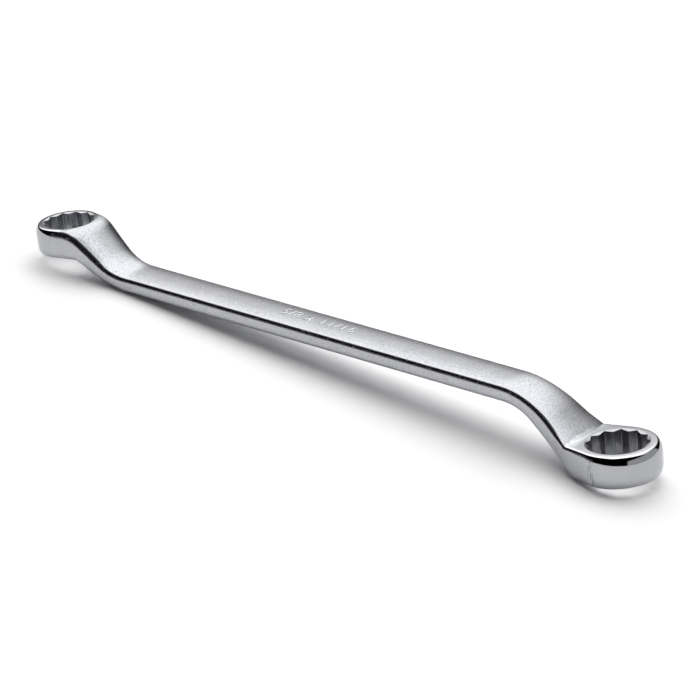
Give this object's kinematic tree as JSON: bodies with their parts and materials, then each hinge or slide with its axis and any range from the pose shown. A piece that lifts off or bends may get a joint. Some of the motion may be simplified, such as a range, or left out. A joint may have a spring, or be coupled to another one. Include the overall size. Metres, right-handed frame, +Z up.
{
  "type": "ring spanner",
  "caption": "Ring spanner: a flat crowned shank with a bi-hexagon ring at each end, the rings offset to opposite sides.",
  "frame": {"origin": "on the table, under the middle of the overall length and width", "axes": "+X along the spanner towards the large ring, +Y across it, +Z up as it rests on a table"},
  "size_m": [0.2584, 0.0272, 0.0206],
  "materials": {
    "chrome": "satin chrome plate on a bead-blasted forging, with polished ring ends"
  },
  "bodies": {
    "root": {"spanner_forging": "chrome"}
  },
  "joints": []
}
